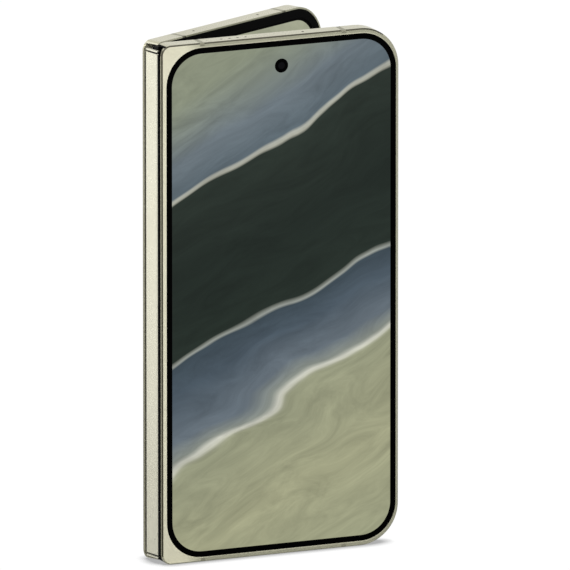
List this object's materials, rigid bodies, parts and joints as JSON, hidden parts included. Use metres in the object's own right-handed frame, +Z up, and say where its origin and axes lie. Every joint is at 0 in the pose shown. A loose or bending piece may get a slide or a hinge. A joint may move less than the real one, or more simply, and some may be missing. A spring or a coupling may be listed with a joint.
{
  "type": "foldable smartphone",
  "caption": "Book-style foldable smartphone standing part-open on its edge: outer cover display, folding inner display, slim hinge spine and rear camera island.",
  "frame": {"origin": "middle of the footprint of the phone as it stands, at the lowest point of its bottom edge", "axes": "+Z up along the hinge, towards the top edge; -X towards the hinge spine; -Y towards the cover half and +Y towards the main half with the rear cameras"},
  "size_m": [0.0744, 0.045, 0.1552],
  "materials": {
    "anodised_aluminium": "satin, bead-blasted and anodised pale champagne",
    "antenna_plastic": "matt moulded plastic breaks",
    "cover_glass": "polished, black border with a lit display behind it",
    "folding_display": "gloss polymer film over the lit folding display",
    "back_glass": "matt etched glass over champagne paint",
    "display_panel": "lit display panel behind the glass",
    "adhesive": "black foam adhesive",
    "bezel_plastic": "fine matt black",
    "lens_glass": "coated black lens glass",
    "camera_housing": "matt black",
    "flash_lens": "moulded pale diffuser",
    "battery_foil": "grey pouch foil",
    "circuit_board": "solder-masked laminate",
    "steel": "stamped steel",
    "speaker_plastic": "matt moulded",
    "copper": "wound copper wire",
    "flex_film": "amber polyimide film",
    "spring_brass": "sprung bronze strip"
  },
  "bodies": {
    "spine": {"hinge_cover": "anodised_aluminium", "hinge_end_caps": "anodised_aluminium", "hinge_brackets": "steel", "bracket_screws": "steel", "friction_springs": "spring_brass"},
    "cover_half": {"cover_frame": "anodised_aluminium", "cover_antenna_breaks": "antenna_plastic", "cover_glass": "cover_glass", "cover_display": "display_panel", "cover_adhesive": "adhesive", "selfie_camera": "lens_glass", "cover_battery": "battery_foil", "cover_board": "circuit_board", "earpiece": "speaker_plastic", "sim_reader": "steel", "cover_inner_bezel": "bezel_plastic", "cover_inner_panel": "folding_display", "cover_support_plate": "steel", "cover_arms": "steel", "cover_arm_screws": "steel", "cover_flex": "flex_film"},
    "main_half": {"main_frame": "anodised_aluminium", "main_antenna_breaks": "antenna_plastic", "back_glass": "back_glass", "back_adhesive": "adhesive", "camera_island": "anodised_aluminium", "camera_windows": "lens_glass", "wide_camera": "camera_housing", "ultrawide_camera": "camera_housing", "tele_camera": "camera_housing", "flash": "flash_lens", "main_battery": "battery_foil", "main_board": "circuit_board", "shield_cans": "steel", "usb_port": "steel", "loudspeaker": "speaker_plastic", "vibration_motor": "steel", "charging_coil": "copper", "button_switches": "spring_brass", "main_inner_bezel": "bezel_plastic", "main_inner_panel": "folding_display", "main_support_plate": "steel", "inner_camera": "lens_glass", "main_arms": "steel", "main_arm_screws": "steel", "main_flex": "flex_film"},
    "sim_tray": {"sim_tray": "anodised_aluminium"},
    "cover_wing": {"cover_wing_plate": "steel", "cover_bend_strip": "folding_display"},
    "main_wing": {"main_wing_plate": "steel", "main_bend_strip": "folding_display"},
    "centre": {"centre_plate": "steel", "centre_bend_strip": "folding_display"},
    "power_button": {"power_button": "anodised_aluminium"},
    "volume_rocker": {"volume_rocker": "anodised_aluminium"}
  },
  "joints": [
    {"name": "cover_fold", "type": "hinge", "parent": "spine", "child": "cover_half", "pos_m": [-0.03456, -0.00198, 0.0776], "axis": [0, 0, -1], "range_deg": [-13.3, 76.7]},
    {"name": "main_fold", "type": "hinge", "parent": "spine", "child": "main_half", "pos_m": [-0.03456, 0.00142, 0.0776], "axis": [0, 0, 1], "range_deg": [-13.3, 76.7]},
    {"name": "cover_wing_tilt", "type": "hinge", "parent": "cover_half", "child": "cover_wing", "pos_m": [-0.02862, -0.00293, 0.0776], "axis": [0, 0, -1], "range_deg": [-1.78, 10.24]},
    {"name": "main_wing_tilt", "type": "hinge", "parent": "main_half", "child": "main_wing", "pos_m": [-0.02862, 0.00236, 0.0776], "axis": [0, 0, 1], "range_deg": [-1.78, 10.24]},
    {"name": "centre_lift", "type": "slide", "parent": "spine", "child": "centre", "axis": [1, 0, 0], "range_m": [-0.00022, 0.00128]},
    {"name": "sim_tray_slide", "type": "slide", "parent": "cover_half", "child": "sim_tray", "axis": [0, 0, -1], "range_m": [0, 0.014]},
    {"name": "power_press", "type": "slide", "parent": "main_half", "child": "power_button", "axis": [-0.9732, -0.23, 0], "range_m": [0, 0.00025], "stiffness_N_per_m": 3000},
    {"name": "volume_rock", "type": "hinge", "parent": "main_half", "child": "volume_rocker", "pos_m": [0.03562, 0.01903, 0.096], "axis": [0.23, -0.9732, 0], "range_deg": [-1.2, 1.2], "stiffness_Nm_per_rad": 0.5}
  ],
  "couplings": [
    {"joint": "main_fold", "follows": "cover_fold", "ratio": 1},
    {"joint": "cover_wing_tilt", "follows": "cover_fold", "ratio": 0.13333},
    {"joint": "main_wing_tilt", "follows": "cover_fold", "ratio": 0.13333},
    {"joint": "centre_lift", "follows": "cover_fold", "m_per_rad": 0.00095493}
  ]
}
